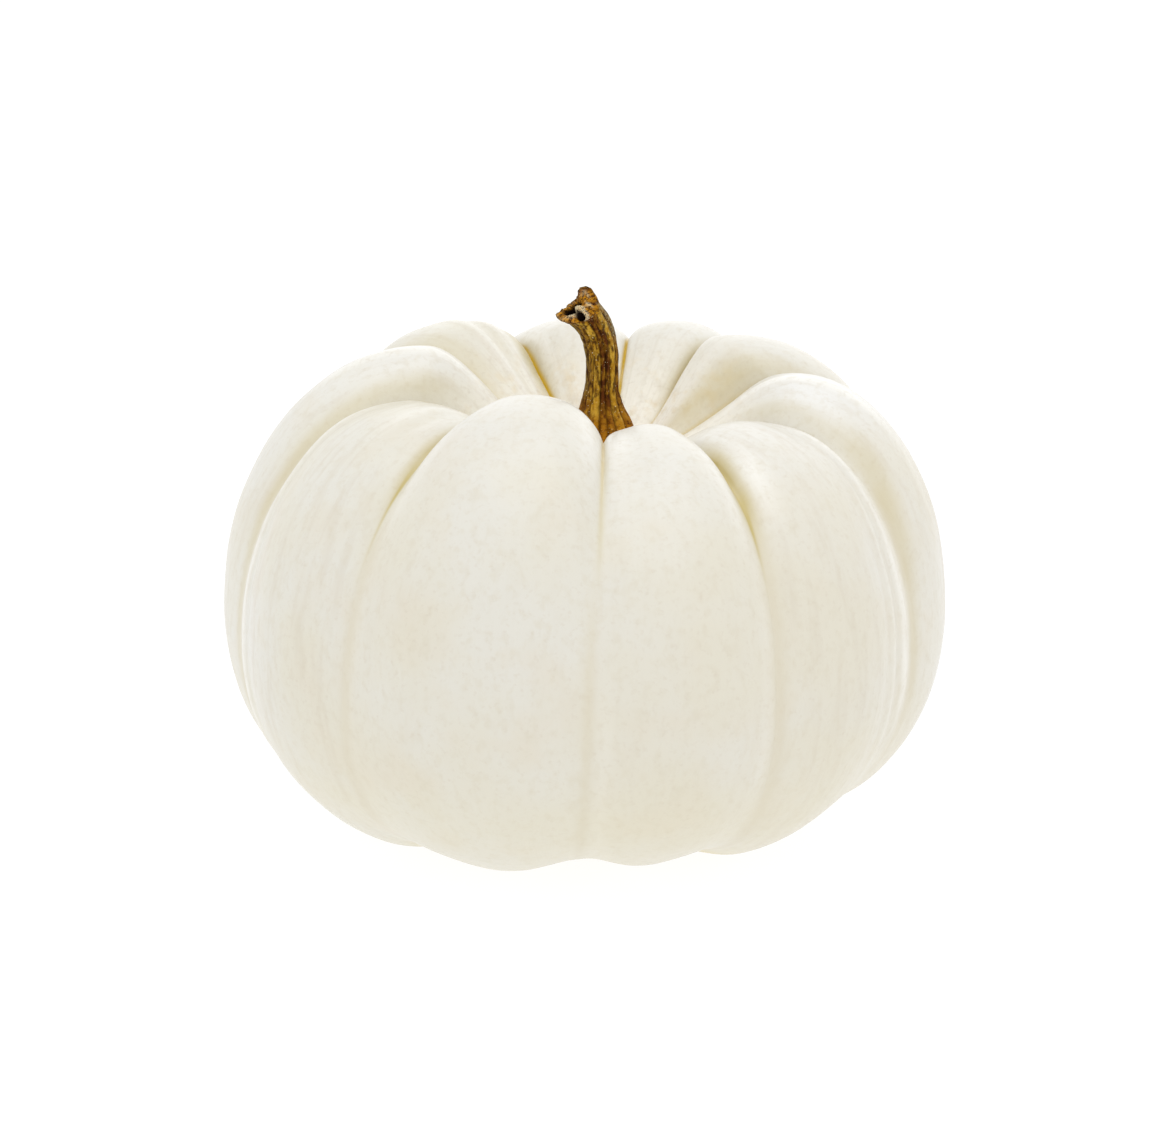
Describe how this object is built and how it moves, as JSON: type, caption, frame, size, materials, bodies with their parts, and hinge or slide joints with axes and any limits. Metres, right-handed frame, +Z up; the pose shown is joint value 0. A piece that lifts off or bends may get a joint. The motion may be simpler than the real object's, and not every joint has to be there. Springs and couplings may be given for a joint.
{
  "type": "pumpkin",
  "caption": "Whole ribbed white pumpkin with a short curved dried stem whose cut end is torn and hollow; it rests level on the low spots of its lobes.",
  "frame": {"origin": "on the ground, under the middle of the fruit's outline", "axes": "+Z up, -Y towards the side that shows the front groove, +X to the right seen from that side"},
  "size_m": [0.2653, 0.2621, 0.1995],
  "materials": {
    "skin": "smooth, softly glossy ivory rind, ochre in the grooves round the stem",
    "stem": "matt dried stalk, golden brown ribs with dark furrows"
  },
  "bodies": {
    "root": {"fruit": "skin", "stem": "stem"}
  },
  "joints": []
}
